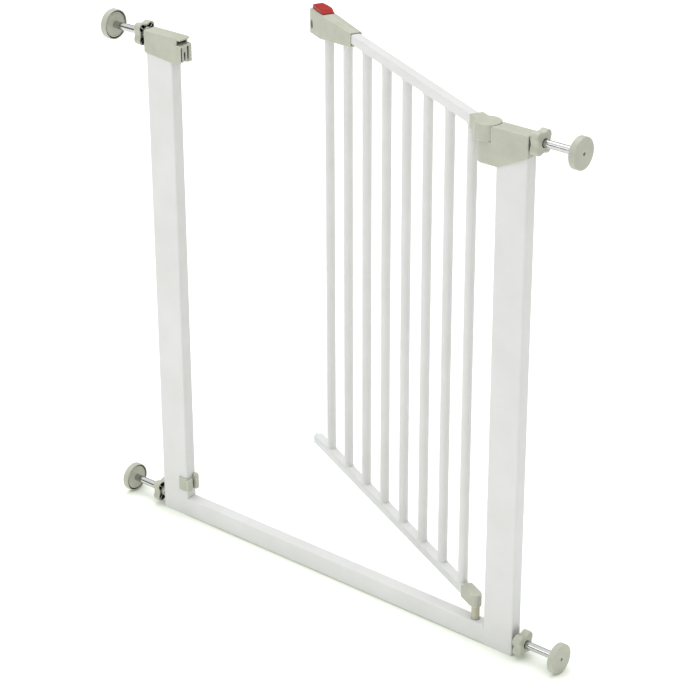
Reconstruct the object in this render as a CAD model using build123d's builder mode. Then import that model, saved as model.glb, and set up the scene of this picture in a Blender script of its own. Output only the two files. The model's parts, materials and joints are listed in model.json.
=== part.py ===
from build123d import *
from math import cos, radians, sin
import os

os.makedirs("parts", exist_ok=True)

# A pressure-fitted pet gate with a lift-and-swing leaf. All sizes are in millimetres.
# X runs across the doorway, Y through it, Z up. The origin is on the floor,
# under the middle of the bottom rail.

# Frame
frame_width = 670.0
post_width = 50.0
tube_depth = 20.0
rail_height = 30.0
tube_wall = 1.5
tube_corner = 2.5
post_top = 750.0
post_x = (frame_width - post_width) / 2
post_inner_x = frame_width / 2 - post_width

# Housings on top of the posts
housing_top = 775.0
housing_end = frame_width / 2 + 2.0
latch_depth = 24.0
hinge_depth = 26.0
pocket_clearance = 0.1
latch_end = 266.0
hood_depth = 7.5
notch_floor = 765.0
notch_roof = 772.4

# Leaf, hung on a vertical axis and held open in the stored pose
hinge_x = 263.9
open_angle = 25.2
leaf_tube = 15.0
leaf_wall = 1.2
leaf_corner = 2.5
low_rail_z = 53.0
top_rail_z = 759.0
bar_count = 8
bar_radius = 7.0
bar_wall = 1.0
bar_first = 40.2
bar_pitch = 63.65

# Handle at the free end of the leaf
handle_start = 396.0
handle_end = 529.2
handle_top = 776.0
handle_low = 739.5
handle_half = 12.0
handle_tail_half = 9.4
handle_wall = 2.0
latch_shift = 1.9
bolt_reach = 7.0

# Hinges
barrel_radius = 18.8
barrel_floor = 754.2
seat_radius = 19.5
seat_floor = 753.0
boss_radius = 13.0
top_pin_radius = 4.0
low_pin_radius = 3.0
low_barrel_radius = 8.2
low_cap_floor = 52.0
sleeve_radius = 6.0
fit_gap = 0.05

# Spindles that clamp the frame between two walls
low_spindle_z = 22.5
top_spindle_z = 766.5
rod_inner_end = 300.0
rod_shoulder = 353.0
rod_outer_end = 407.0
thread_radius = 5.0
shank_radius = 5.5
wall_plane = 413.0
cup_radius = 22.0
cup_rim = 403.0
wall_hole_radius = 2.7
foot_radius = 18.6
nut_face = 353.5
nut_rim = 341.5
hub_radius = 9.2

leaf_direction = (-cos(radians(open_angle)), sin(radians(open_angle)), 0)
rear_direction = (sin(radians(open_angle)), cos(radians(open_angle)), 0)
front_direction = (-rear_direction[0], -rear_direction[1], 0)
hinge_point = (hinge_x, 0, 0)

# leaf_plan lies flat: x runs from the hinge to the free end, y towards the gate's front.
# leaf_side stands along the leaf: x as before, y up. leaf_cross stands across it: y up.
leaf_plan = Plane(origin=hinge_point, x_dir=leaf_direction, z_dir=(0, 0, 1))
leaf_side = Plane(origin=hinge_point, x_dir=leaf_direction, z_dir=rear_direction)
leaf_cross = Plane(origin=hinge_point, x_dir=front_direction, z_dir=leaf_direction)


def facing_out(side, x, height):
    """A plane across a spindle, facing the wall on that side of the doorway, with y up."""
    return Plane(origin=(side * x, 0, height), x_dir=(0, side, 0), z_dir=(side, 0, 0))


# Welded frame: two posts and the bottom rail between them
screw_places = {
    -1: ((-318.0, 745.0), (-297.0, 743.5)),
    1: ((304.0, 737.5), (322.0, 744.5)),
}
screw_radius = 1.75
bush_radius = 7.0
for side, word in ((-1, "left"), (1, "right")):
    with BuildPart() as post:
        with BuildSketch(Plane.XY):
            with Locations((side * post_x, 0)):
                RectangleRounded(post_width, tube_depth, tube_corner)
                RectangleRounded(
                    post_width - 2 * tube_wall,
                    tube_depth - 2 * tube_wall,
                    tube_corner - tube_wall,
                    mode=Mode.SUBTRACT,
                )
        extrude(amount=post_top)
        with Locations(facing_out(side, frame_width / 2, low_spindle_z)):
            Hole(radius=bush_radius + fit_gap, depth=2 * tube_wall)
        for x, z in screw_places[side]:
            with Locations(Plane(origin=(x, tube_depth / 2, z), z_dir=(0, 1, 0))):
                Hole(radius=screw_radius + fit_gap, depth=2 * tube_wall)
    post.part.label = f"{word}_post"
    export_step(post.part, f"parts/{word}_post.step")

pivot_bush_radius = 5.5
with BuildPart() as bottom_rail:
    with BuildSketch(Plane.YZ.offset(-post_inner_x)):
        with Locations((0, rail_height / 2)):
            RectangleRounded(tube_depth, rail_height, tube_corner)
            RectangleRounded(
                tube_depth - 2 * tube_wall,
                rail_height - 2 * tube_wall,
                tube_corner - tube_wall,
                mode=Mode.SUBTRACT,
            )
    extrude(amount=2 * post_inner_x)
    with Locations((hinge_x, 0, rail_height)):
        Hole(radius=pivot_bush_radius + fit_gap, depth=2 * tube_wall)
bottom_rail.part.label = "bottom_rail"
export_step(bottom_rail.part, "parts/bottom_rail.step")

# Plastic plugs that close the feet of the posts
plug_height = 9.0
plug_web = 2.0
with BuildPart() as post_foot_plugs:
    with BuildSketch(Plane.XY.offset(0.5)):
        with Locations((-post_x, 0), (post_x, 0)):
            RectangleRounded(post_width - 2 * tube_wall - 0.2, tube_depth - 2 * tube_wall - 0.2, 0.8)
    extrude(amount=plug_height)
    with BuildSketch(Plane.XY.offset(0.5 + plug_web)):
        with Locations((-post_x, 0), (post_x, 0)):
            Rectangle(post_width - 2 * tube_wall - 4, tube_depth - 2 * tube_wall - 4)
    extrude(amount=plug_height, mode=Mode.SUBTRACT)
post_foot_plugs.part.label = "post_foot_plugs"
export_step(post_foot_plugs.part, "parts/post_foot_plugs.step")

# Latch housing: a cap over the left post that reaches into the doorway and receives the bolt
strike_low_y = -7.2
strike_high_y = 2.8
groove_front_y = -10.0
groove_rear_y = 6.7
receiver_depth = 14.5
receiver_roof = 762.0
with BuildPart() as latch_housing:
    with BuildSketch(Plane.XZ):
        with BuildLine():
            Polyline(
                (-housing_end, 745.0),
                (-housing_end, housing_top),
                (-latch_end, housing_top),
                (-latch_end, 738.5),
            )
            ThreePointArc((-latch_end, 738.5), (-271.5, 736.9), (-279.0, 736.8))
            Line((-279.0, 736.8), (-329.5, 741.6))
            ThreePointArc((-329.5, 741.6), (-334.3, 742.6), (-housing_end, 745.0))
        make_face()
    extrude(amount=latch_depth / 2, both=True)
    crown = latch_housing.edges().filter_by(Axis.X).group_by(Axis.Z)[-1]
    fillet(crown, radius=2.5)
    outer_corners = latch_housing.edges().filter_by(Axis.Z).group_by(Axis.X)[0]
    fillet(outer_corners, radius=1.5)
    with BuildSketch(Plane.XY.offset(post_top)):
        with Locations((-post_x, 0)):
            Rectangle(post_width + 2 * pocket_clearance, tube_depth + 2 * pocket_clearance)
    extrude(amount=-post_top, mode=Mode.SUBTRACT)
    with Locations(facing_out(-1, housing_end, top_spindle_z)):
        Hole(radius=thread_radius + fit_gap, depth=housing_end - 291.0)
    # the slot under the hood, open to the front, the rear and the doorway
    with BuildSketch(Plane.XZ):
        with BuildLine():
            Polyline(
                (-latch_end - hood_depth, notch_floor),
                (-latch_end + 1, notch_floor),
                (-latch_end + 1, notch_roof),
                (-latch_end - hood_depth, notch_roof),
                close=True,
            )
        make_face()
    extrude(amount=latch_depth, both=True, mode=Mode.SUBTRACT)
    # the pocket behind the slot, clear of the spindle's inner end
    with BuildSketch(Plane.YZ.offset(-latch_end - hood_depth)):
        with Locations((0, (notch_floor + notch_roof) / 2)):
            Rectangle(18.0, notch_roof - notch_floor)
    extrude(amount=-12.0, mode=Mode.SUBTRACT)
    # the receiver, open downwards and to the doorway, that the strike sits in
    with BuildSketch(Plane.XY.offset(receiver_roof)):
        with BuildLine():
            Polyline(
                (-latch_end - receiver_depth, groove_front_y),
                (-latch_end + 1, groove_front_y),
                (-latch_end + 1, groove_rear_y),
                (-latch_end - receiver_depth, groove_rear_y),
                close=True,
            )
        make_face()
    extrude(amount=-40, mode=Mode.SUBTRACT)
    # the hood's rear corner is cut off at an angle
    with BuildSketch(Plane.XY.offset(notch_roof)):
        with BuildLine():
            Polyline(
                (-latch_end + 1, latch_depth / 2 - 5),
                (-latch_end + 1, latch_depth / 2 + 1),
                (-latch_end - 6, latch_depth / 2 + 1),
                close=True,
            )
        make_face()
    extrude(amount=10, mode=Mode.SUBTRACT)
    for x, z in screw_places[-1]:
        with Locations(Plane(origin=(x, latch_depth / 2, z), z_dir=(0, 1, 0))):
            Hole(radius=screw_radius + fit_gap, depth=5)
latch_housing.part.label = "latch_housing"
export_step(latch_housing.part, "parts/latch_housing.step")

# Strike: a block with an upright slot, closed at the top, that the bolt's blade enters
strike_slot = 3.8
strike_slot_top = 755.0
strike_foot = 740.0
strike_base = 3.4
with BuildPart() as latch_strike:
    with BuildSketch(Plane.XY.offset(strike_foot)):
        with BuildLine():
            Polyline(
                (-latch_end - receiver_depth + 0.1, groove_front_y + 0.1),
                (-latch_end - receiver_depth + strike_base, groove_front_y + 0.1),
                (-latch_end - receiver_depth + strike_base, strike_low_y),
                (-latch_end - 0.4, strike_low_y),
                (-latch_end - 0.4, strike_high_y),
                (-latch_end - receiver_depth + strike_base, strike_high_y),
                (-latch_end - receiver_depth + strike_base, groove_rear_y - 0.1),
                (-latch_end - receiver_depth + 0.1, groove_rear_y - 0.1),
                close=True,
            )
        make_face()
    extrude(amount=receiver_roof - 0.1 - strike_foot)
    with BuildSketch(Plane.YZ.offset(-latch_end)):
        with Locations((-latch_shift, strike_foot - 1)):
            Rectangle(
                strike_slot,
                strike_slot_top - strike_slot / 2 - strike_foot + 1,
                align=(Align.CENTER, Align.MIN),
            )
        with Locations((-latch_shift, strike_slot_top - strike_slot / 2)):
            Circle(strike_slot / 2)
    extrude(amount=-9.5, mode=Mode.SUBTRACT)
latch_strike.part.label = "latch_strike"
export_step(latch_strike.part, "parts/latch_strike.step")

# Hinge housing: a cap over the right post with a seat for the leaf's barrel
hinge_bush_radius = 5.5
with BuildPart() as hinge_housing:
    with BuildSketch(Plane.XY.offset(700)):
        with Locations(((hinge_x + housing_end) / 2, 0)):
            Rectangle(housing_end - hinge_x, hinge_depth)
        with Locations((hinge_x, 0)):
            Circle(boss_radius)
    extrude(amount=housing_top - 700)
    crown = hinge_housing.edges().filter_by(Axis.X).group_by(Axis.Z)[-1]
    fillet(crown, radius=2.5)
    outer_corners = hinge_housing.edges().filter_by(Axis.Z).group_by(Axis.X)[-1]
    fillet(outer_corners, radius=1.5)
    with BuildSketch(Plane.XZ):
        with BuildLine():
            Polyline(
                (hinge_x - boss_radius - 1, housing_top + 1),
                (hinge_x - boss_radius - 1, 733.0),
            )
            ThreePointArc(
                (hinge_x - boss_radius - 1, 733.0),
                (hinge_x - 9.5, 725.0),
                (hinge_x, 722.0),
            )
            Polyline(
                (hinge_x, 722.0),
                (289.0, 722.0),
                (housing_end + 1, 745.0),
                (housing_end + 1, housing_top + 1),
                (hinge_x - boss_radius - 1, housing_top + 1),
            )
        make_face()
    extrude(amount=hinge_depth, both=True, mode=Mode.INTERSECT)
    with BuildSketch(Plane.XY.offset(seat_floor)):
        with Locations((hinge_x, 0)):
            Circle(seat_radius)
    extrude(amount=40, mode=Mode.SUBTRACT)
    with BuildSketch(Plane.XY.offset(post_top)):
        with Locations((post_x, 0)):
            Rectangle(post_width + 2 * pocket_clearance, tube_depth + 2 * pocket_clearance)
    extrude(amount=-post_top, mode=Mode.SUBTRACT)
    with Locations(facing_out(1, housing_end, top_spindle_z)):
        Hole(radius=thread_radius + fit_gap, depth=housing_end - 291.0)
    with Locations((hinge_x, 0, seat_floor)):
        Hole(radius=hinge_bush_radius + fit_gap, depth=seat_floor - 724.0)
    for x, z in screw_places[1]:
        with Locations(Plane(origin=(x, hinge_depth / 2, z), z_dir=(0, 1, 0))):
            Hole(radius=screw_radius + fit_gap, depth=5)
hinge_housing.part.label = "hinge_housing"
export_step(hinge_housing.part, "parts/hinge_housing.step")

with BuildPart() as hinge_bush:
    with BuildSketch(Plane.XY.offset(724.2)):
        with Locations((hinge_x, 0)):
            Circle(hinge_bush_radius)
    extrude(amount=seat_floor - 724.2)
    with BuildSketch(Plane.XY.offset(seat_floor)):
        with Locations((hinge_x, 0)):
            Circle(hinge_bush_radius + 2.5)
    extrude(amount=0.8)
    with BuildSketch(Plane.XY.offset(725.5)):
        with Locations((hinge_x, 0)):
            Circle(top_pin_radius + fit_gap)
    extrude(amount=40, mode=Mode.SUBTRACT)
hinge_bush.part.label = "hinge_bush"
export_step(hinge_bush.part, "parts/hinge_bush.step")

# Four self-tapping screws hold the housings to the posts from behind
head_radius = 3.6
head_height = 2.2
screw_length = 8.0
with BuildPart() as housing_screws:
    for side, depth in ((-1, latch_depth), (1, hinge_depth)):
        for x, z in screw_places[side]:
            with BuildSketch(Plane(origin=(x, depth / 2, z), z_dir=(0, 1, 0))):
                Circle(head_radius)
            extrude(amount=head_height)
            with BuildSketch(Plane(origin=(x, depth / 2, z), z_dir=(0, 1, 0))):
                Circle(screw_radius)
            extrude(amount=-screw_length)
    rims = housing_screws.edges().filter_by(GeomType.CIRCLE).group_by(SortBy.RADIUS)[-1]
    fillet(rims.group_by(Axis.Y)[-1], radius=1.2)
housing_screws.part.label = "housing_screws"
export_step(housing_screws.part, "parts/housing_screws.step")

# Lower catch: a clip round the left post whose two lips hold the leaf's tongue
catch_foot = 43.5
catch_top = 65.0
catch_wall = 2.4
catch_side_wall = 1.2
catch_grip = 15.5
catch_face = post_inner_x - catch_side_wall
lip_gap_low = -1.6
lip_gap_high = 2.6
lip_depth = 7.0
lip_reach = 6.5
lip_foot = 45.0
with BuildPart() as lower_catch:
    with BuildSketch(Plane.XY.offset(catch_foot)):
        with Locations((-post_inner_x - catch_grip + (catch_grip + catch_side_wall) / 2, 0)):
            RectangleRounded(catch_grip + catch_side_wall, tube_depth + 2 * catch_wall, 2.0)
        with Locations((-post_inner_x - catch_grip / 2 - 1, 0)):
            Rectangle(catch_grip + 2, tube_depth + 2 * pocket_clearance, mode=Mode.SUBTRACT)
    extrude(amount=catch_top - catch_foot)
    with BuildSketch(Plane.XY.offset(catch_foot)):
        with Locations((-catch_face, (lip_gap_low - tube_depth / 2 - catch_wall) / 2)):
            Rectangle(
                3.0,
                lip_gap_low + tube_depth / 2 + catch_wall,
                align=(Align.MIN, Align.CENTER),
            )
    extrude(amount=catch_top - 1.5 - catch_foot)
    with BuildSketch(Plane.XZ.offset(-lip_gap_high)):
        with Locations((-catch_face, lip_foot)):
            Rectangle(lip_reach, catch_top - lip_foot, align=(Align.MIN, Align.MIN))
        with BuildLine():
            Line((-catch_face, catch_top), (-catch_face + lip_reach, catch_top))
            ThreePointArc(
                (-catch_face + lip_reach, catch_top),
                (-catch_face + 4.6, catch_top + 3.5),
                (-catch_face, catch_top + 4.5),
            )
            Line((-catch_face, catch_top + 4.5), (-catch_face, catch_top))
        make_face()
    extrude(amount=-lip_depth)
    lip_edges = lower_catch.edges().filter_by(Axis.Z).group_by(Axis.X)[-1]
    fillet(lip_edges, radius=1.2)
lower_catch.part.label = "lower_catch"
export_step(lower_catch.part, "parts/lower_catch.step")

# Lower pivot: a steel pin in a bush inside the rail, a washer and a sleeve that turns on it
pin_foot = 2.0
pin_head = 68.0
with BuildPart() as pivot_bush:
    with BuildSketch(Plane.XY.offset(tube_wall + 0.1)):
        with Locations((hinge_x, 0)):
            Circle(pivot_bush_radius)
    extrude(amount=rail_height - tube_wall - 0.1)
    with BuildSketch(Plane.XY.offset(pin_foot - 0.1)):
        with Locations((hinge_x, 0)):
            Circle(low_pin_radius + 0.02)
    extrude(amount=rail_height, mode=Mode.SUBTRACT)
pivot_bush.part.label = "pivot_bush"
export_step(pivot_bush.part, "parts/pivot_bush.step")

with BuildPart() as pivot_pin:
    with BuildSketch(Plane.XY.offset(pin_foot)):
        with Locations((hinge_x, 0)):
            Circle(low_pin_radius)
    extrude(amount=pin_head - pin_foot)
    tip = pivot_pin.edges().group_by(Axis.Z)[-1]
    chamfer(tip, length=0.8)
pivot_pin.part.label = "pivot_pin"
export_step(pivot_pin.part, "parts/pivot_pin.step")

washer_top = rail_height + 1.6
with BuildPart() as pivot_washer:
    with BuildSketch(Plane.XY.offset(rail_height + 0.05)):
        with Locations((hinge_x, 0)):
            Circle(sleeve_radius + 0.4)
            Circle(low_pin_radius + 0.1, mode=Mode.SUBTRACT)
    extrude(amount=washer_top - rail_height - 0.05)
pivot_washer.part.label = "pivot_washer"
export_step(pivot_washer.part, "parts/pivot_washer.step")

# the sleeve's flat-sided head turns with the leaf, and the leaf lifts off it
key_height = 2.6
key_flat = 4.9
with BuildPart() as pivot_sleeve:
    with BuildSketch(Plane.XY.offset(washer_top + 0.1)):
        with Locations((hinge_x, 0)):
            Circle(sleeve_radius)
    extrude(amount=low_cap_floor - washer_top - 0.2)
    with BuildSketch(leaf_plan.offset(low_cap_floor - 0.1)):
        Circle(sleeve_radius)
        with Locations((key_flat, 0)):
            Rectangle(4, 12, align=(Align.MIN, Align.CENTER), mode=Mode.SUBTRACT)
    extrude(amount=key_height)
    with BuildSketch(Plane.XY.offset(washer_top)):
        with Locations((hinge_x, 0)):
            Circle(low_pin_radius + fit_gap)
    extrude(amount=40, mode=Mode.SUBTRACT)
pivot_sleeve.part.label = "pivot_sleeve"
export_step(pivot_sleeve.part, "parts/pivot_sleeve.step")

# Leaf rails: square tubes between the hinge end and the free end
top_rail_start, top_rail_end = 16.0, 493.5
low_rail_start, low_rail_end = 12.0, 515.0
for word, start, end, foot in (
    ("top", top_rail_start, top_rail_end, top_rail_z),
    ("bottom", low_rail_start, low_rail_end, low_rail_z),
):
    with BuildPart() as leaf_rail:
        with BuildSketch(leaf_cross.offset(start)):
            with Locations((0, foot + leaf_tube / 2)):
                RectangleRounded(leaf_tube, leaf_tube, leaf_corner)
                RectangleRounded(
                    leaf_tube - 2 * leaf_wall,
                    leaf_tube - 2 * leaf_wall,
                    leaf_corner - leaf_wall,
                    mode=Mode.SUBTRACT,
                )
        extrude(amount=end - start)
    leaf_rail.part.label = f"leaf_{word}_rail"
    export_step(leaf_rail.part, f"parts/leaf_{word}_rail.step")

# Eight round bars, welded between the rails
bar_foot = low_rail_z + leaf_tube
bar_places = [bar_first + bar_pitch * i for i in range(bar_count)]
for i, place in enumerate(bar_places):
    with BuildPart() as bar:
        with BuildSketch(leaf_plan.offset(bar_foot)):
            with Locations((place, 0)):
                Circle(bar_radius)
                Circle(bar_radius - bar_wall, mode=Mode.SUBTRACT)
        extrude(amount=top_rail_z - bar_foot)
    bar.part.label = f"bar_{i + 1}"
    export_step(bar.part, f"parts/bar_{i + 1}.step")

# Upper hinge cap: a socket over the top rail and a round barrel that turns in the housing
cap_top = 776.5
with BuildPart() as upper_hinge_cap:
    with BuildSketch(leaf_plan.offset(barrel_floor)):
        Circle(barrel_radius)
    extrude(amount=cap_top - barrel_floor)
    with BuildSketch(leaf_plan.offset(757.0)):
        Rectangle(31.5, 20.0, align=(Align.MIN, Align.CENTER))
    extrude(amount=cap_top - 757.0)
    crown = upper_hinge_cap.edges().group_by(Axis.Z)[-1]
    fillet(crown, radius=1.8)
    with BuildSketch(leaf_cross.offset(top_rail_start - 0.1)):
        with Locations((0, top_rail_z + leaf_tube / 2)):
            RectangleRounded(leaf_tube + 0.2, leaf_tube + 0.2, leaf_corner)
    extrude(amount=20, mode=Mode.SUBTRACT)
    with BuildSketch(Plane.XY.offset(barrel_floor)):
        with Locations((hinge_x, 0)):
            Circle(top_pin_radius + 0.02)
    extrude(amount=19, mode=Mode.SUBTRACT)
upper_hinge_cap.part.label = "upper_hinge_cap"
export_step(upper_hinge_cap.part, "parts/upper_hinge_cap.step")

with BuildPart() as upper_hinge_pin:
    with BuildSketch(Plane.XY.offset(728.0)):
        with Locations((hinge_x, 0)):
            Circle(top_pin_radius)
    extrude(amount=barrel_floor + 18.9 - 728.0)
    tip = upper_hinge_pin.edges().group_by(Axis.Z)[0]
    chamfer(tip, length=1.0)
upper_hinge_pin.part.label = "upper_hinge_pin"
export_step(upper_hinge_pin.part, "parts/upper_hinge_pin.step")

# Lower hinge cap: a socket over the bottom rail and a small barrel on the pivot pin
low_cap_top = 71.0
with BuildPart() as lower_hinge_cap:
    with BuildSketch(leaf_plan.offset(low_cap_floor)):
        Circle(low_barrel_radius)
        Rectangle(29.0, 17.4, align=(Align.MIN, Align.CENTER))
    extrude(amount=low_cap_top - low_cap_floor)
    crown = lower_hinge_cap.edges().group_by(Axis.Z)[-1]
    fillet(crown, radius=1.5)
    with BuildSketch(leaf_cross.offset(low_rail_start - 0.1)):
        with Locations((0, low_rail_z + leaf_tube / 2)):
            RectangleRounded(leaf_tube + 0.2, leaf_tube + 0.2, leaf_corner)
    extrude(amount=20, mode=Mode.SUBTRACT)
    with BuildSketch(leaf_plan.offset(low_cap_floor)):
        Circle(sleeve_radius + fit_gap)
        with Locations((key_flat + fit_gap, 0)):
            Rectangle(4, 12, align=(Align.MIN, Align.CENTER), mode=Mode.SUBTRACT)
    extrude(amount=key_height + 0.1, mode=Mode.SUBTRACT)
    with BuildSketch(leaf_plan.offset(low_cap_floor)):
        Circle(low_pin_radius + fit_gap)
    extrude(amount=pin_head + 0.6 - low_cap_floor, mode=Mode.SUBTRACT)
lower_hinge_cap.part.label = "lower_hinge_cap"
export_step(lower_hinge_cap.part, "parts/lower_hinge_cap.step")

# End shoe: closes the bottom rail and carries the tongue that drops into the catch
shoe_end = 538.3
tongue_reach = 6.7
tongue_half = 1.7
tongue_rear = 0.5
spigot = leaf_tube - 2 * leaf_wall - 0.2
with BuildPart() as end_shoe:
    with BuildSketch(leaf_cross.offset(low_rail_end + 0.05)):
        with Locations((0, low_rail_z + leaf_tube / 2)):
            RectangleRounded(leaf_tube, leaf_tube, leaf_corner)
    extrude(amount=shoe_end - low_rail_end - 0.05)
    end_rim = end_shoe.faces().sort_by(Axis.X)[0].edges()
    fillet(end_rim, radius=1.0)
    with BuildSketch(leaf_cross.offset(low_rail_end + 0.05)):
        with Locations((0, low_rail_z + leaf_tube / 2)):
            RectangleRounded(spigot, spigot, leaf_corner - leaf_wall)
    extrude(amount=-18)
    with BuildSketch(leaf_cross.offset(shoe_end - 2)):
        with Locations((-tongue_rear, 62.2)):
            RectangleRounded(2 * tongue_half, 7.6, 1.0)
    extrude(amount=tongue_reach + 2)
end_shoe.part.label = "end_shoe"
export_step(end_shoe.part, "parts/end_shoe.step")

# Plug in the end of the top rail: the fixed seat of the latch spring
spring_z = top_rail_z + leaf_tube / 2
with BuildPart() as rail_end_plug:
    with BuildSketch(leaf_cross.offset(top_rail_end - 14)):
        with Locations((0, spring_z)):
            RectangleRounded(spigot, spigot, leaf_corner - leaf_wall)
    extrude(amount=14.1)
    with BuildSketch(leaf_cross.offset(top_rail_end + 0.1)):
        with Locations((0, spring_z)):
            Rectangle(leaf_tube - 1, leaf_tube - 1)
    extrude(amount=1.2)
    with BuildSketch(leaf_cross.offset(top_rail_end + 1.3)):
        with Locations((0, spring_z)):
            Circle(2.2)
    extrude(amount=4)
rail_end_plug.part.label = "rail_end_plug"
export_step(rail_end_plug.part, "parts/rail_end_plug.step")

# Handle: two shells, closed over the top rail and the last two bars
handle_screws_at = ((453.5, 753.0), (499.5, 749.0))
window_place = (522.2, 753.0)
bolt_start, bolt_end = 504.5, 525.0
tongue_low, tongue_high = 765.4, 770.2
blade_low, blade_high = 743.0, 753.5
blade_front, blade_rear = 3.4, 0.4
button_slot = (498.0, 516.5)
for word, kept in (("front", Keep.BOTTOM), ("rear", Keep.TOP)):
    with BuildPart() as shell:
        with BuildSketch(leaf_plan.offset(handle_low)):
            with BuildLine():
                Polyline(
                    (handle_start, -handle_tail_half),
                    (478.0, -handle_half),
                    (handle_end, -handle_half),
                    (handle_end, handle_half),
                    (478.0, handle_half),
                    (handle_start, handle_tail_half),
                    close=True,
                )
            make_face()
        extrude(amount=handle_top - handle_low)
        with BuildSketch(leaf_side):
            with BuildLine():
                Polyline(
                    (handle_start - 1, 755.4),
                    (494.0, handle_low),
                    (handle_start - 1, handle_low - 5),
                    close=True,
                )
            make_face()
        extrude(amount=20, both=True, mode=Mode.SUBTRACT)
        end_edges = shell.edges().filter_by(Axis.Z).group_by(Axis.X)[0:2]
        fillet(end_edges[0] + end_edges[1], radius=2.1)
        crown = shell.faces().sort_by(Axis.Z)[-1].edges()
        tail = crown.sort_by(Axis.X)[-1]
        fillet(crown - [tail], radius=2.0)
        # channel for the rail and the bars' heads
        with BuildSketch(leaf_side):
            with BuildLine():
                Polyline(
                    (handle_start - 1, 755.6 + handle_wall),
                    (494.0, handle_low + handle_wall),
                    (494.6, handle_low + handle_wall),
                    (494.6, top_rail_z + leaf_tube + 0.1),
                    (handle_start + 12, top_rail_z + leaf_tube + 0.1),
                    (handle_start - 1, top_rail_z + leaf_tube + 0.9),
                    close=True,
                )
            make_face()
        extrude(amount=leaf_tube / 2 + 0.1, both=True, mode=Mode.SUBTRACT)
        with BuildSketch(leaf_plan.offset(handle_low - 1)):
            with Locations((bar_places[-1], 0), (bar_places[-2], 0)):
                Circle(bar_radius + 0.3)
        extrude(amount=20, mode=Mode.SUBTRACT)
        # chamber for the bolt and its spring
        with BuildSketch(leaf_plan.offset(handle_low + handle_wall)):
            with Locations(((494.5 + handle_end - handle_wall) / 2, 0)):
                Rectangle(handle_end - handle_wall - 494.5, 2 * handle_half - 2 * handle_wall)
        extrude(amount=handle_top - handle_low - 2 * handle_wall, mode=Mode.SUBTRACT)
        # openings in the end wall for the bolt's tongue and blade
        with BuildSketch(leaf_cross.offset(handle_end + 1)):
            with Locations((0, (tongue_low + tongue_high) / 2)):
                Rectangle(11.6, tongue_high - tongue_low + 0.6)
            with Locations(((blade_front + blade_rear) / 2, (blade_low + blade_high) / 2)):
                Rectangle(blade_front - blade_rear + 0.5, blade_high - blade_low + 0.6)
        extrude(amount=-4, mode=Mode.SUBTRACT)
        # slot in the roof for the button's stem
        with BuildSketch(leaf_plan.offset(handle_top + 1)):
            with Locations((sum(button_slot) / 2, 0)):
                Rectangle(button_slot[1] - button_slot[0], 6.6)
        extrude(amount=-4, mode=Mode.SUBTRACT)
        # oval window in the front wall, beside the bolt
        with BuildSketch(leaf_side.offset(-handle_half - 1)):
            with Locations(window_place):
                Ellipse(4.3, 7.3)
        extrude(amount=5, mode=Mode.SUBTRACT)
        # screw posts, joined to the front wall and clamped by the rear one
        with BuildSketch(leaf_side.offset(-handle_half + 1.5)):
            with Locations(*handle_screws_at):
                Circle(3.4)
        extrude(amount=2 * handle_half - 3)
        with BuildSketch(leaf_side.offset(handle_half + 1)):
            with Locations(*handle_screws_at):
                Circle(1.6)
        extrude(amount=-19, mode=Mode.SUBTRACT)
        with BuildSketch(leaf_side.offset(handle_half + 1)):
            with Locations(*handle_screws_at):
                Circle(3.2)
        extrude(amount=-4.2, mode=Mode.SUBTRACT)
        split(bisect_by=leaf_side, keep=kept)
    shell.part.label = f"handle_{word}_shell"
    export_step(shell.part, f"parts/handle_{word}_shell.step")

with BuildPart() as handle_screws:
    for place in handle_screws_at:
        with BuildSketch(leaf_side.offset(handle_half - 3.1)):
            with Locations(place):
                Circle(3.0)
        extrude(amount=2.0)
        with BuildSketch(leaf_side.offset(handle_half - 3.1)):
            with Locations(place):
                Circle(1.5)
        extrude(amount=-14.0)
handle_screws.part.label = "handle_screws"
export_step(handle_screws.part, "parts/handle_screws.step")

# Latch bolt: an upper tongue for the hood, a lower blade for the strike, and a spring pocket
with BuildPart() as latch_bolt:
    with BuildSketch(leaf_cross.offset(bolt_start)):
        with Locations((0, 766.5)):
            RectangleRounded(10.0, 10.0, 0.8)
    extrude(amount=bolt_end - bolt_start)
    with BuildSketch(leaf_cross.offset(bolt_end - 1)):
        with Locations((0, (tongue_low + tongue_high) / 2)):
            RectangleRounded(11.0, tongue_high - tongue_low, 0.8)
    extrude(amount=handle_end + bolt_reach + 1 - bolt_end)
    with BuildSketch(leaf_side.offset(-blade_front)):
        with BuildLine():
            Polyline(
                (517.0, blade_low),
                (handle_end + bolt_reach, blade_low),
                (handle_end + bolt_reach, blade_high),
                (bolt_end, blade_high),
                (bolt_end, 762.5),
                (517.0, 762.5),
                close=True,
            )
        make_face()
    extrude(amount=blade_front - blade_rear)
    with BuildSketch(leaf_cross.offset(bolt_start)):
        with Locations((0, spring_z)):
            Circle(3.6)
    extrude(amount=16, mode=Mode.SUBTRACT)
latch_bolt.part.label = "latch_bolt"
export_step(latch_bolt.part, "parts/latch_bolt.step")

spring_turns = 11
spring_start = top_rail_end + 1.4 + 0.35
spring_length = bolt_start + 16 - 0.4 - spring_start
spring_seat = leaf_cross.offset(spring_start).from_local_coords((0, spring_z, 0))
with BuildPart() as latch_spring:
    with BuildLine() as coil:
        Helix(
            pitch=spring_length / spring_turns,
            height=spring_length,
            radius=2.85,
            center=spring_seat,
            direction=leaf_direction,
        )
    with BuildSketch(Plane(origin=coil.line @ 0, z_dir=coil.line % 0)):
        Circle(0.35)
    sweep(path=coil.line, is_frenet=True)
latch_spring.part.label = "latch_spring"
export_step(latch_spring.part, "parts/latch_spring.step")

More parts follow.
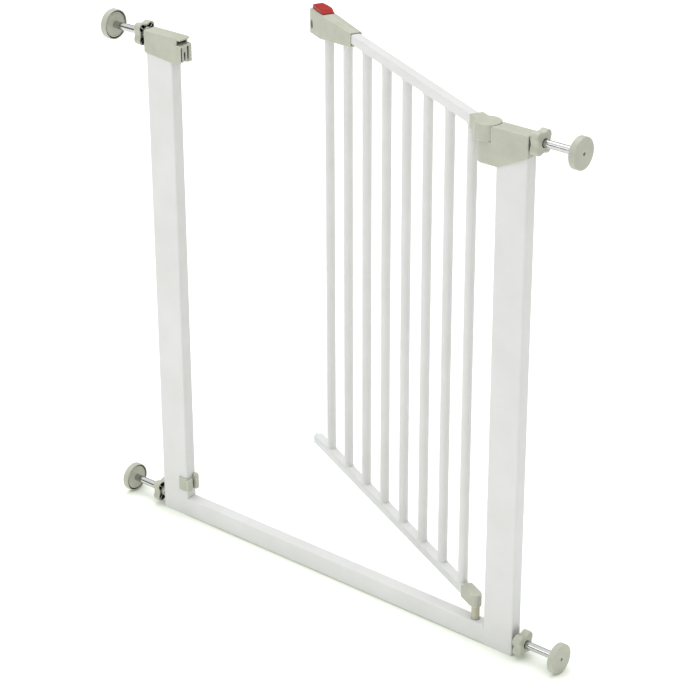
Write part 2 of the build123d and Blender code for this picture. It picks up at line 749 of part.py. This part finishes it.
# Release button: a raised thumb slide on top of the handle, clipped to the bolt
button_floor = handle_top + 0.2
with BuildPart() as release_button:
    with BuildSketch(leaf_side):
        with BuildLine():
            Polyline(
                (488.3, button_floor),
                (488.3, button_floor + 1.0),
                (495.5, 782.2),
                (499.5, 782.8),
                (525.4, 782.4),
                (528.2, button_floor + 1.0),
                (528.2, button_floor),
                close=True,
            )
        make_face()
    extrude(amount=9.4, both=True)
    with BuildSketch(leaf_plan.offset(button_floor)):
        with BuildLine():
            Polyline(
                (488.3, -9.4),
                (508.0, -9.4),
                (528.2, -7.6),
                (528.2, 7.6),
                (508.0, 9.4),
                (488.3, 9.4),
                close=True,
            )
        make_face()
    extrude(amount=10, mode=Mode.INTERSECT)
    upper_rim = release_button.edges().filter_by(lambda e: e.center().Z > button_floor + 0.2)
    fillet(upper_rim, radius=0.8)
    with BuildSketch(leaf_plan.offset(771.6)):
        with Locations((512.0, 0)):
            Rectangle(7.0, 6.0)
    extrude(amount=button_floor - 771.6)
release_button.part.label = "release_button"
export_step(release_button.part, "parts/release_button.step")

# Guide bushes for the lower spindles, in the outer walls of the posts
with BuildPart() as spindle_bushes:
    for side in (-1, 1):
        with BuildSketch(facing_out(side, frame_width / 2, low_spindle_z)):
            Circle(9.5)
        extrude(amount=2.0)
        with BuildSketch(facing_out(side, frame_width / 2, low_spindle_z)):
            Circle(bush_radius)
        extrude(amount=-30.0)
        with BuildSketch(facing_out(side, housing_end + 1, low_spindle_z)):
            Circle(thread_radius + fit_gap)
        extrude(amount=-40, mode=Mode.SUBTRACT)
spindle_bushes.part.label = "spindle_bushes"
export_step(spindle_bushes.part, "parts/spindle_bushes.step")

# Four spindles, each a rod with a foot, a cup on the wall and a hand nut with a threaded insert
lobe_count = 4
lobe_radius = 7.6
lobe_place = 11.7
valley_radius = 11.6
valley_depth = 14.0
nut_wall = 2.0
insert_size = 14.0
insert_end = 344.4
counterbore = 6.4
lobe_middle = Vector(lobe_place, 0).rotate(Axis.Z, 45)
valley_middle = Vector(0, valley_depth + valley_radius)
lobe_share = lobe_radius / (lobe_radius + valley_radius)
lobe_exit = lobe_middle + (valley_middle - lobe_middle) * lobe_share
lobe_entry = Vector(lobe_exit.Y, lobe_exit.X)
lobe_peak = Vector(lobe_place + lobe_radius, 0).rotate(Axis.Z, 45)
valley_foot = Vector(0, valley_depth)
for word, side, height in (
    ("upper_left", -1, top_spindle_z),
    ("upper_right", 1, top_spindle_z),
    ("lower_left", -1, low_spindle_z),
    ("lower_right", 1, low_spindle_z),
):
    with BuildPart() as hand_nut:
        with BuildSketch(facing_out(side, nut_rim, height)):
            with BuildLine():
                for turn in range(0, 360, 90):
                    ThreePointArc(
                        lobe_entry.rotate(Axis.Z, turn),
                        lobe_peak.rotate(Axis.Z, turn),
                        lobe_exit.rotate(Axis.Z, turn),
                    )
                    ThreePointArc(
                        lobe_exit.rotate(Axis.Z, turn),
                        valley_foot.rotate(Axis.Z, turn),
                        lobe_entry.rotate(Axis.Z, turn + 90),
                    )
            make_face()
        extrude(amount=nut_face - nut_rim)
        face_rim = hand_nut.faces().sort_by(Axis.X)[-1 if side > 0 else 0].edges()
        fillet(face_rim, radius=3.0)
        with BuildSketch(facing_out(side, nut_rim, height)):
            Circle(valley_depth - nut_wall)
            with PolarLocations(lobe_place, lobe_count, start_angle=45):
                Circle(lobe_radius - nut_wall)
            Circle(hub_radius, mode=Mode.SUBTRACT)
            with PolarLocations(0, lobe_count, start_angle=0):
                Rectangle(50, 1.2, mode=Mode.SUBTRACT)
            with PolarLocations(0, lobe_count, start_angle=45):
                Rectangle(50, 1.2, mode=Mode.SUBTRACT)
        extrude(amount=nut_face - nut_rim - 2.6, mode=Mode.SUBTRACT)
        with BuildSketch(facing_out(side, housing_end + 0.2, height)):
            Circle(hub_radius)
        extrude(amount=nut_rim - housing_end)
        with BuildSketch(facing_out(side, housing_end + 0.2, height)):
            RegularPolygon(insert_size / 2 + 0.03, 6, major_radius=False)
        extrude(amount=insert_end + 0.1 - housing_end - 0.2, mode=Mode.SUBTRACT)
        with BuildSketch(facing_out(side, nut_face, height)):
            Circle(counterbore)
        extrude(amount=insert_end - nut_face, mode=Mode.SUBTRACT)
    hand_nut.part.label = f"hand_nut_{word}"
    export_step(hand_nut.part, f"parts/hand_nut_{word}.step")

    with BuildPart() as nut_insert:
        with BuildSketch(facing_out(side, housing_end + 0.4, height)):
            RegularPolygon(insert_size / 2, 6, major_radius=False)
            Circle(thread_radius + fit_gap, mode=Mode.SUBTRACT)
        extrude(amount=insert_end - housing_end - 0.4)
    nut_insert.part.label = f"nut_insert_{word}"
    export_step(nut_insert.part, f"parts/nut_insert_{word}.step")

    with BuildPart() as spindle_rod:
        with BuildSketch(facing_out(side, rod_inner_end, height)):
            Circle(thread_radius)
        extrude(amount=rod_shoulder - rod_inner_end)
        chamfer(spindle_rod.edges().sort_by(Axis.X)[0 if side > 0 else -1], length=1.0)
        with BuildSketch(facing_out(side, rod_shoulder, height)):
            Circle(shank_radius)
        extrude(amount=rod_outer_end - rod_shoulder)
    spindle_rod.part.label = f"spindle_rod_{word}"
    export_step(spindle_rod.part, f"parts/spindle_rod_{word}.step")

    with BuildPart() as foot_disc:
        with BuildSketch(facing_out(side, cup_rim + 1.0, height)):
            Circle(foot_radius)
        extrude(amount=6.0)
        fillet(foot_disc.edges(), radius=0.8)
        with BuildSketch(facing_out(side, cup_rim + 1.0, height)):
            for ring in (9.0, 12.5, 16.0):
                Circle(ring + 0.4)
                Circle(ring - 0.4, mode=Mode.SUBTRACT)
        extrude(amount=0.5, mode=Mode.SUBTRACT)
        with BuildSketch(facing_out(side, cup_rim + 1.0, height)):
            Circle(shank_radius + 0.02)
        extrude(amount=rod_outer_end + 0.05 - cup_rim - 1.0, mode=Mode.SUBTRACT)
        with BuildSketch(facing_out(side, cup_rim + 7.0, height)):
            Circle(6.0)
        extrude(amount=-2.2, mode=Mode.SUBTRACT)
    foot_disc.part.label = f"foot_disc_{word}"
    export_step(foot_disc.part, f"parts/foot_disc_{word}.step")

    with BuildPart() as wall_cup:
        with BuildSketch(facing_out(side, cup_rim, height)):
            Circle(cup_radius)
        extrude(amount=wall_plane - cup_rim)
        fillet(wall_cup.edges(), radius=1.2)
        with BuildSketch(facing_out(side, cup_rim, height)):
            Circle(cup_radius - 1.5)
        extrude(amount=7.1, mode=Mode.SUBTRACT)
        with BuildSketch(facing_out(side, wall_plane, height)):
            Circle(wall_hole_radius)
        extrude(amount=-5, mode=Mode.SUBTRACT)
    wall_cup.part.label = f"wall_cup_{word}"
    export_step(wall_cup.part, f"parts/wall_cup_{word}.step")
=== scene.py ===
import bpy
import bmesh
import json
import math
from mathutils import Matrix, Vector


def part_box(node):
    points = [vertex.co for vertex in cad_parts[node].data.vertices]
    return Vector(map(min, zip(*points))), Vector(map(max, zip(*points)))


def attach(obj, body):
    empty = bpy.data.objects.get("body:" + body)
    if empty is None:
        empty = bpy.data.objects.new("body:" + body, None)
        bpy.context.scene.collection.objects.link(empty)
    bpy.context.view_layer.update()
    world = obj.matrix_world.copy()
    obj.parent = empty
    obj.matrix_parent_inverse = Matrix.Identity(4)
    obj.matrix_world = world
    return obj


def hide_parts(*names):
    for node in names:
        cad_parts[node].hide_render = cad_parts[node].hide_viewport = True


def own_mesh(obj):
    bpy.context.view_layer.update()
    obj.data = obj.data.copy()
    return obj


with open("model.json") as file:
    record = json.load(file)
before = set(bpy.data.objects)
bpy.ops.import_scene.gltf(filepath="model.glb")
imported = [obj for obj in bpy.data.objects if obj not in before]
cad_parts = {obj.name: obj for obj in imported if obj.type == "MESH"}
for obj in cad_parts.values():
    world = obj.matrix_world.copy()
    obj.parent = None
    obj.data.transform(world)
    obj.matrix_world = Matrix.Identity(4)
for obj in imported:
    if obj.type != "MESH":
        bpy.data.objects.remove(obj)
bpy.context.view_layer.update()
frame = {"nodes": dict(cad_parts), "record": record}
nodes = frame["nodes"]
record = frame["record"]
print("frame loaded,", len(nodes), "nodes")

mm = 0.001  # the model is in metres, the sizes below are in millimetres
scene = bpy.context.scene


def linearColour(code):
    # an sRGB hex value as linear red, green, blue and alpha
    parts = [int(code[i:i + 2], 16) / 255 for i in (1, 3, 5)]
    return [p / 12.92 if p <= 0.04045 else ((p + 0.055) / 1.055) ** 2.4 for p in parts] + [1.0]


def addNode(tree, kind, settings=None, links=None):
    # settings go to properties or unlinked sockets, links join a socket to another node's output
    node = tree.nodes.new(kind)
    for name, value in (settings or {}).items():
        if isinstance(name, str) and hasattr(node, name):
            setattr(node, name, value)
        else:
            node.inputs[name].default_value = value
    for name, (other, output) in (links or {}).items():
        tree.links.new(other.outputs[output], node.inputs[name])
    return node


def newMaterial(name):
    material = bpy.data.materials.new(name)
    material.use_nodes = True
    material.node_tree.nodes.clear()
    return material, material.node_tree


# what every surface shares: a size in millimetres, counts of samples, and limits between 0 and 1
common = {"tonePatch": (0.35, 0.65), "paintedEdgeFlat": 0.985, "paintedEdgeSharp": 0.80, "handledSize": 45,
          "handledPatch": (0.3, 0.7), "bevelSamples": 4, "openSamples": 8}


def makeSurface(name, look):
    material, tree = newMaterial(name)
    place = addNode(tree, "ShaderNodeTexCoord")
    # colour: slow toning in the pigment or the plating
    toning = addNode(tree, "ShaderNodeTexNoise",
                     {"Scale": 1 / (look["toneSize"] * mm), "Detail": 4.0, "Roughness": 0.6},
                     {"Vector": (place, "Object")})
    toneShare = addNode(tree, "ShaderNodeMapRange",
                        {"From Min": common["tonePatch"][0], "From Max": common["tonePatch"][1]},
                        {"Value": (toning, "Fac")})
    toned = addNode(tree, "ShaderNodeMix",
                    {"data_type": "RGBA", 6: linearColour(look["tone"]), 7: linearColour(look["base"])},
                    {0: (toneShare, 0)})
    # edges: painted highlight and shade. Where the rounded-corner normal leaves the true one, the edge
    # colour comes through: paler as a painted highlight on most surfaces, darker as painted shade on the
    # red button
    rounded = addNode(tree, "ShaderNodeBevel",
                      {"samples": common["bevelSamples"], "Radius": look["edgeWidth"] * mm})
    surface = addNode(tree, "ShaderNodeNewGeometry")
    turned = addNode(tree, "ShaderNodeVectorMath", {"operation": "DOT_PRODUCT"},
                     {0: (rounded, 0), 1: (surface, "Normal")})
    paintedEdgeShare = addNode(tree, "ShaderNodeMapRange",
                       {"From Min": common["paintedEdgeFlat"], "From Max": common["paintedEdgeSharp"],
                        "To Max": look["edgeShare"]},
                       {"Value": (turned, "Value")})
    paintedEdge = addNode(tree, "ShaderNodeMix", {"data_type": "RGBA", 7: linearColour(look["edge"])},
                     {0: (paintedEdgeShare, 0), 6: (toned, 2)})
    # painted shade: an occlusion mask darkens gaps and recesses, where shade falls
    openness = addNode(tree, "ShaderNodeAmbientOcclusion",
                       {"samples": common["openSamples"], "Distance": look["creviceSize"] * mm})
    openShare = addNode(tree, "ShaderNodeMapRange",
                        {"From Min": look["creviceShut"], "From Max": look["creviceOpen"]},
                        {"Value": (openness, "AO")})
    shaded = addNode(tree, "ShaderNodeMix", {"data_type": "RGBA", 6: linearColour(look["crevice"])},
                     {0: (openShare, 0), 7: (paintedEdge, 2)})
    # grain: stretched along the way the surface was made
    stretched = addNode(tree, "ShaderNodeVectorMath", {"operation": "MULTIPLY", 1: look["grainStretch"]},
                        {0: (place, "Object")})
    grain = addNode(tree, "ShaderNodeTexNoise",
                    {"Scale": 1 / (look["grainSize"] * mm), "Detail": 3.0, "Roughness": 0.6},
                    {"Vector": (stretched, 0)})
    bump = addNode(tree, "ShaderNodeBump",
                   {"Strength": look["grainStrength"], "Distance": look["grainHeight"] * mm},
                   {"Height": (grain, "Fac")})
    # gloss: handled patches shine a little more
    handling = addNode(tree, "ShaderNodeTexNoise",
                       {"Scale": 1 / (common["handledSize"] * mm), "Detail": 5.0, "Roughness": 0.65},
                       {"Vector": (place, "Object")})
    rough = addNode(tree, "ShaderNodeMapRange",
                    {"From Min": common["handledPatch"][0], "From Max": common["handledPatch"][1],
                     "To Min": look["roughness"][0], "To Max": look["roughness"][1]},
                    {"Value": (handling, "Fac")})
    shader = addNode(tree, "ShaderNodeBsdfPrincipled", {"Metallic": look["metal"]},
                     {"Base Color": (shaded, 2), "Roughness": (rough, 0), "Normal": (bump, 0)})
    if not look["metal"]:
        shader.inputs["IOR"].default_value = look["ior"]
    addNode(tree, "ShaderNodeOutputMaterial", links={"Surface": (shader, 0)})
    return material


# Powder-coated steel: baked polyester, a bright satin white with a faint orange peel
powderCoat = {
    "base": "#D9D9D8", "tone": "#D4D4D2", "toneSize": 70,
    "edge": "#EDEDEB", "edgeWidth": 1.4, "edgeShare": 0.7,
    "crevice": "#8A8A82", "creviceSize": 4, "creviceShut": 0.1, "creviceOpen": 0.45,
    "grainSize": 2.4, "grainHeight": 0.02, "grainStrength": 0.35, "grainStretch": (1, 1, 1),
    "roughness": (0.32, 0.44), "metal": 0.0, "ior": 1.5,
}
# Moulded polypropylene: warm grey-green, spark-eroded grain, corners painted paler as a highlight, gaps
# darkened with painted shade
mouldedPlastic = {
    "base": "#B7B9A9", "tone": "#AFB1A2", "toneSize": 22,
    "edge": "#DCDDD6", "edgeWidth": 1.5, "edgeShare": 0.85,
    "crevice": "#34342A", "creviceSize": 9, "creviceShut": 0.16, "creviceOpen": 0.52,
    "grainSize": 1.5, "grainHeight": 0.03, "grainStrength": 0.4, "grainStretch": (1, 1, 1),
    "roughness": (0.40, 0.52), "metal": 0.0, "ior": 1.49,
}
# Cored polypropylene of the hand nuts and bushes: the same plastic, with painted shade that turns its
# pockets black
nutPlastic = dict(mouldedPlastic, crevice="#080805", creviceSize=12, creviceShut=0.3, creviceOpen=0.62)
# Shallow polypropylene mouldings, the foot discs and wall cups: they stay light but for painted shade in
# holes and gaps
footPlastic = dict(mouldedPlastic, crevice="#0C0C09", creviceSize=4, creviceShut=0.15, creviceOpen=0.5)
# Red ABS with a fine matt grain: low sheen, saturated, with painted shade as dark lines at its edges and
# foot. The index is below the plastic's own 1.53, because the grain scatters much of the reflection
redPlastic = {
    "base": "#AC1408", "tone": "#9A1007", "toneSize": 14,
    "edge": "#3C0705", "edgeWidth": 1.9, "edgeShare": 1.0,
    "crevice": "#1C0404", "creviceSize": 6, "creviceShut": 0.2, "creviceOpen": 0.7,
    "grainSize": 1.3, "grainHeight": 0.03, "grainStrength": 0.35, "grainStretch": (1, 1, 1),
    "roughness": (0.38, 0.5), "metal": 0.0, "ior": 1.38,
}
# White polypropylene of the end shoe: a little cooler than the paint beside it
whitePlastic = {
    "base": "#DADDDB", "tone": "#D3D7D5", "toneSize": 20,
    "edge": "#ECEEED", "edgeWidth": 1.2, "edgeShare": 0.6,
    "crevice": "#7F8481", "creviceSize": 4, "creviceShut": 0.1, "creviceOpen": 0.45,
    "grainSize": 1.5, "grainHeight": 0.02, "grainStrength": 0.35, "grainStretch": (1, 1, 1),
    "roughness": (0.42, 0.54), "metal": 0.0, "ior": 1.49,
}
# Acetal bushes and sleeve: smooth and slightly waxy, khaki
acetal = {
    "base": "#B7B5A0", "tone": "#ACAA95", "toneSize": 12,
    "edge": "#C9C8B8", "edgeWidth": 0.9, "edgeShare": 0.6,
    "crevice": "#24231B", "creviceSize": 4, "creviceShut": 0.1, "creviceOpen": 0.5,
    "grainSize": 1.2, "grainHeight": 0.01, "grainStrength": 0.3, "grainStretch": (1, 1, 1),
    "roughness": (0.28, 0.38), "metal": 0.0, "ior": 1.48,
}
# Chromed rod: bright but slightly brushed, with faint rings left by the grinding under the plate
chromePlate = {
    "base": "#C2C2C0", "tone": "#B9B9B8", "toneSize": 9,
    "edge": "#CFCFCE", "edgeWidth": 0.6, "edgeShare": 0.5,
    "crevice": "#55554F", "creviceSize": 3, "creviceShut": 0.1, "creviceOpen": 0.5,
    "grainSize": 1.6, "grainHeight": 0.002, "grainStrength": 0.1, "grainStretch": (1, 0.02, 0.02),
    "roughness": (0.13, 0.18), "metal": 1.0,
}
# Zinc plate on pins, inserts and screws: duller, cloudy and a little cool
zincPlate = {
    "base": "#BDBFC1", "tone": "#A5A8AB", "toneSize": 5,
    "edge": "#D2D3D4", "edgeWidth": 0.5, "edgeShare": 0.5,
    "crevice": "#3A3A38", "creviceSize": 3, "creviceShut": 0.1, "creviceOpen": 0.5,
    "grainSize": 0.9, "grainHeight": 0.004, "grainStrength": 0.3, "grainStretch": (1, 1, 1),
    "roughness": (0.26, 0.4), "metal": 1.0,
}
# Oil-tempered spring wire: dark grey with drawing lines
springWire = {
    "base": "#8F9092", "tone": "#797B7D", "toneSize": 4,
    "edge": "#A3A4A5", "edgeWidth": 0.2, "edgeShare": 0.3,
    "crevice": "#2B2B2B", "creviceSize": 2, "creviceShut": 0.1, "creviceOpen": 0.5,
    "grainSize": 0.6, "grainHeight": 0.003, "grainStrength": 0.3, "grainStretch": (1, 1, 1),
    "roughness": (0.24, 0.34), "metal": 1.0,
}

slotMaterials = {
    "white_steel": makeSurface("powder-coated steel", powderCoat),
    "grey_plastic": makeSurface("moulded polypropylene", mouldedPlastic),
    "red_plastic": makeSurface("red moulded ABS", redPlastic),
    "white_plastic": makeSurface("white moulded polypropylene", whitePlastic),
    "bearing_plastic": makeSurface("moulded acetal", acetal),
    "bright_rod": makeSurface("chrome-plated steel rod", chromePlate),
    "plated_steel": makeSurface("zinc-plated steel", zincPlate),
    "spindle_plastic": makeSurface("cored polypropylene moulding", nutPlastic),
}
footMaterial = makeSurface("shallow polypropylene moulding", footPlastic)
temperedWire = makeSurface("oil-tempered spring wire", springWire)
for part in record["subparts"]:
    isFoot = part["node"].startswith(("foot_disc", "wall_cup"))
    for materialSlot in nodes[part["node"]].material_slots:
        materialSlot.link = "OBJECT"
        materialSlot.material = footMaterial if isFoot else slotMaterials[part["material_slot"]]
print("materials made")

leaf = {"open": 25.2}  # degrees the leaf stands open
openAngle = math.radians(leaf["open"])
leafWay = Vector((-math.cos(openAngle), math.sin(openAngle), 0))  # from the hinge to the leaf's free end
hingePoint = Vector(record["behaviour"]["joints"][0]["pos_m"])


finish = {"mergeWithin": 0.01, "sharpAbove": 35}  # millimetres, degrees


def finishPiece(name, mesh, material):
    # closes a bmesh into an object at the origin, doubles merged and normals outward
    bmesh.ops.remove_doubles(mesh, verts=mesh.verts, dist=finish["mergeWithin"] * mm)
    bmesh.ops.recalc_face_normals(mesh, faces=mesh.faces)
    for face in mesh.faces:
        face.smooth = True
    data = bpy.data.meshes.new(name)
    mesh.to_mesh(data)
    mesh.free()
    data.set_sharp_from_angle(angle=math.radians(finish["sharpAbove"]))
    data.materials.append(material)
    piece = bpy.data.objects.new(name, data)
    scene.collection.objects.link(piece)
    return piece


def turnProfile(mesh, profile, origin, along, steps):
    # turns a profile of (distance, radius) pairs, in millimetres, round a line
    along = Vector(along).normalized()
    across = along.orthogonal().normalized()
    points = [mesh.verts.new(Vector(origin) + along * d * mm + across * r * mm) for d, r in profile]
    line = [mesh.edges.new(pair) for pair in zip(points, points[1:])]
    bmesh.ops.spin(mesh, geom=points + line, cent=origin, axis=along, angle=math.tau,
                   steps=steps, use_merge=True)


def ringParts(ring):
    # the vertices and edges of a new circle, always in the same order
    return ring["verts"] + list(dict.fromkeys(edge for vert in ring["verts"] for edge in vert.link_edges))


def windCoil(mesh, origin, along, radius, wire, stages, sides, steps):
    # winds a round wire round a line, stages are (turns, pitch) pairs in millimetres
    along = Vector(along).normalized()
    across = along.orthogonal().normalized()
    around = along.cross(across)
    start = Matrix((across, along, -around)).transposed().to_4x4()
    start.translation = Vector(origin) + across * radius * mm
    ring = bmesh.ops.create_circle(mesh, segments=sides, radius=wire * mm, cap_ends=False, matrix=start)
    tip = ringParts(ring)
    ends = [tip]
    for turns, pitch in stages:
        count = round(turns * steps)
        turned = bmesh.ops.spin(mesh, geom=tip, cent=origin, axis=along, dvec=along * pitch * mm / steps,
                                angle=math.tau * turns, steps=count, use_merge=False)
        tip = turned["geom_last"]
    ends.append(tip)
    for end in ends:
        edges = [item for item in end if isinstance(item, bmesh.types.BMEdge)]
        bmesh.ops.contextual_create(mesh, geom=edges)


# Weld beads round both ends of every bar, laid by machine and coated over
barWeld = {"radius": 7.0, "bead": 0.9, "heights": (68.0, 759.0), "sides": 8, "steps": 28}
upright = Matrix.Rotation(math.radians(90), 4, "X")  # stands a flat circle on its edge
beads = bmesh.new()
for bar in (name for name in nodes if name.startswith("bar_")):
    low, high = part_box(bar)
    middle = (Vector(low) + Vector(high)) / 2
    for height in barWeld["heights"]:
        centre = Vector((middle.x, middle.y, height * mm))
        place = Matrix.Translation(centre + Vector((barWeld["radius"] * mm, 0, 0))) @ upright
        ring = bmesh.ops.create_circle(beads, segments=barWeld["sides"],
                                       radius=barWeld["bead"] * mm, matrix=place)
        bmesh.ops.spin(beads, geom=ringParts(ring), cent=centre, axis=(0, 0, 1), angle=math.tau,
                       steps=barWeld["steps"], use_merge=True)
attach(finishPiece("bar_weld_beads", beads, slotMaterials["white_steel"]), "leaf")

# Weld seams that fill the corner between the bottom rail and each post, with slight ripples
postWeld = {"x": 285.8, "face": 8.4, "roof": 29.2, "low": 1.2, "radius": 1.7, "blunt": 12,
            "ripple": 0.07, "ripplePitch": 1.6, "ripplePoints": 4, "steps": 14}
seams = bmesh.new()
upLength = postWeld["roof"] - postWeld["low"]
for side in (-1, 1):
    weldX = side * postWeld["x"]
    for start, along, length in (
        ((weldX, -postWeld["face"], postWeld["low"]), (0, 0, 1), upLength),
        ((weldX, postWeld["face"], postWeld["low"]), (0, 0, 1), upLength),
        ((weldX, -postWeld["face"], postWeld["roof"]), (0, 1, 0), 2 * postWeld["face"]),
    ):
        count = round(length / (postWeld["ripplePitch"] / postWeld["ripplePoints"]))
        profile = []
        for k in range(count + 1):
            share = k / count
            swell = (1 - (2 * share - 1) ** postWeld["blunt"]) ** 0.5  # rounds off both ends
            wave = math.cos(math.tau * share * length / postWeld["ripplePitch"])
            profile.append((share * length, postWeld["radius"] * swell * (1 + postWeld["ripple"] * wave)))
        turnProfile(seams, profile, Vector(start) * mm, along, postWeld["steps"])
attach(finishPiece("post_weld_seams", seams, slotMaterials["white_steel"]), "frame")
print("welds made")

# Latch spring: open coil with closed ends, seated on the rail plug
coil = {"seat": 495.25, "height": 766.5, "radius": 2.85, "wire": 0.35,
        "stages": ((1, 0.74), (9, 2.595), (1, 0.74)), "kept": 0.64, "sides": 8, "steps": 28}
spring = bmesh.new()
coilSeat = hingePoint + leafWay * coil["seat"] * mm + Vector((0, 0, coil["height"] * mm))
windCoil(spring, coilSeat, leafWay, coil["radius"], coil["wire"], coil["stages"],
         coil["sides"], coil["steps"])
springPiece = finishPiece("latch_coil", spring, temperedWire)
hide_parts("latch_spring")
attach(springPiece, "leaf")
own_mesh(springPiece)
print("latch spring wound")

# Spindle rods: a rolled thread on the inner end, a chromed shank from the nut to the foot
rod = {"inner": 300.0, "shoulder": 353.0, "outer": 407.0, "core": 4.5, "shank": 5.5, "chamfer": 0.6,
       "pitch": 2.0, "threadRadius": 4.55, "threadHalf": 0.42, "start": 303.0, "turns": 24,
       "threadSides": 6, "threadSteps": 24, "shankSteps": 40}
for corner in ("upper_left", "upper_right", "lower_left", "lower_right"):
    side = -1 if corner.endswith("left") else 1
    low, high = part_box(f"spindle_rod_{corner}")
    height = (low[2] + high[2]) / 2
    start = Vector((side * rod["inner"] * mm, 0, height))
    shoulder, length, cut = rod["shoulder"] - rod["inner"], rod["outer"] - rod["inner"], rod["chamfer"]
    turned = bmesh.new()
    turnProfile(turned, ((0, 0), (0, rod["core"] - cut), (cut, rod["core"]), (shoulder, rod["core"]),
                         (shoulder, rod["shank"] - cut), (shoulder + cut, rod["shank"]),
                         (length, rod["shank"]), (length, 0)), start, (side, 0, 0), rod["shankSteps"])
    threadStart = Vector((side * rod["start"] * mm, 0, height))
    windCoil(turned, threadStart, (side, 0, 0), rod["threadRadius"], rod["threadHalf"],
             ((rod["turns"], rod["pitch"]),), rod["threadSides"], rod["threadSteps"])
    rodPiece = finishPiece(f"threaded_rod_{corner}", turned, slotMaterials["bright_rod"])
    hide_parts(f"spindle_rod_{corner}")
    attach(rodPiece, f"spindle_{corner}")
print("spindle rods turned")

# camera: metres, degrees and a focal length in millimetres
view = {"place": (1.9292, -2.2772, 1.8114), "yaw": 39.766, "pitch": 25.787, "roll": -0.097,
        "lens": 120.4, "sensor": 36}
cameraData = bpy.data.cameras.new("camera")
cameraData.lens = view["lens"]
cameraData.sensor_width = view["sensor"]
camera = bpy.data.objects.new("camera", cameraData)
scene.collection.objects.link(camera)
camera.location = view["place"]
camera.rotation_euler = (math.radians(90 - view["pitch"]), 0, math.radians(view["yaw"]))
camera.rotation_euler.rotate_axis("Z", math.radians(view["roll"]))
scene.camera = camera

# matt white paper: a painted grey-green shadow gathers under the object, and the paper glows a little,
# painted light that softens the shadows
paper = {"base": "#F8F9F7", "tone": "#F6F8F5", "toneSize": 300, "halfWidth": 30, "gap": 0.2, "lift": 0.28,
         "shade": "#C6CCBE", "shadeSize": 300, "shadeShut": 0.22, "shadeOpen": 0.97, "shadeSamples": 12,
         "roughness": 0.9, "specular": 0.1}
floorMesh = bmesh.new()
bmesh.ops.create_grid(floorMesh, x_segments=1, y_segments=1, size=paper["halfWidth"])
floorData = bpy.data.meshes.new("floor")
floorMesh.to_mesh(floorData)
floorMesh.free()
floor = bpy.data.objects.new("floor", floorData)
floor.location.z = -paper["gap"] * mm
scene.collection.objects.link(floor)
floorMaterial, floorTree = newMaterial("matt white paper")
floorPlace = addNode(floorTree, "ShaderNodeTexCoord")
floorNoise = addNode(floorTree, "ShaderNodeTexNoise",
                     {"Scale": 1 / (paper["toneSize"] * mm), "Detail": 3.0},
                     {"Vector": (floorPlace, "Object")})
floorTone = addNode(floorTree, "ShaderNodeMix",
                    {"data_type": "RGBA", 6: linearColour(paper["tone"]), 7: linearColour(paper["base"])},
                    {0: (floorNoise, "Fac")})
floorOpen = addNode(floorTree, "ShaderNodeAmbientOcclusion",
                    {"samples": paper["shadeSamples"], "Distance": paper["shadeSize"] * mm})
floorShare = addNode(floorTree, "ShaderNodeMapRange",
                     {"From Min": paper["shadeShut"], "From Max": paper["shadeOpen"]},
                     {"Value": (floorOpen, "AO")})
floorColour = addNode(floorTree, "ShaderNodeMix", {"data_type": "RGBA", 6: linearColour(paper["shade"])},
                      {0: (floorShare, 0), 7: (floorTone, 2)})
floorShader = addNode(floorTree, "ShaderNodeBsdfPrincipled",
                      {"Roughness": paper["roughness"], "Specular IOR Level": paper["specular"],
                       "Emission Strength": paper["lift"]},
                      {"Base Color": (floorColour, 2), "Emission Color": (floorColour, 2)})
addNode(floorTree, "ShaderNodeOutputMaterial", links={"Surface": (floorShader, 0)})
floorData.materials.append(floorMaterial)

# studio dome: bright overhead and black at the horizon, which draws the dark line along the rods
dome = {"colour": "#FCFCFC", "horizon": 0.0, "overhead": 1.32, "dark": 0.18, "full": 0.66}
world = bpy.data.worlds.new("studio")
world.use_nodes = True
worldTree = world.node_tree
worldTree.nodes.clear()
worldPlace = addNode(worldTree, "ShaderNodeTexCoord")
worldAxes = addNode(worldTree, "ShaderNodeSeparateXYZ", links={0: (worldPlace, "Generated")})
worldLight = addNode(worldTree, "ShaderNodeMapRange",
                     {"interpolation_type": "SMOOTHSTEP",
                      "From Min": dome["dark"], "From Max": dome["full"],
                      "To Min": dome["horizon"], "To Max": dome["overhead"]},
                     {"Value": (worldAxes, "Z")})
background = addNode(worldTree, "ShaderNodeBackground", {"Color": linearColour(dome["colour"])},
                     {"Strength": (worldLight, 0)})
addNode(worldTree, "ShaderNodeOutputWorld", links={"Surface": (background, 0)})
scene.world = world

lamps = (
    # name, place, aim, size, watts
    ("top softbox", (-0.6, 0.4, 3.4), (0, 0.1, 0.3), 1.6, 20),
    ("front softbox", (-1.0, -3.2, 2.2), (0, 0, 0.4), 1.6, 18.5),
)
for name, place, aim, size, watts in lamps:
    lampData = bpy.data.lights.new(name, "AREA")
    lampData.shape = "DISK"
    lampData.size = size
    lampData.energy = watts
    lamp = bpy.data.objects.new(name, lampData)
    lamp.location = place
    lamp.rotation_euler = (Vector(aim) - Vector(place)).to_track_quat("-Z", "Y").to_euler()
    scene.collection.objects.link(lamp)
scene.view_settings.view_transform = "Standard"
print("camera, floor and light placed")
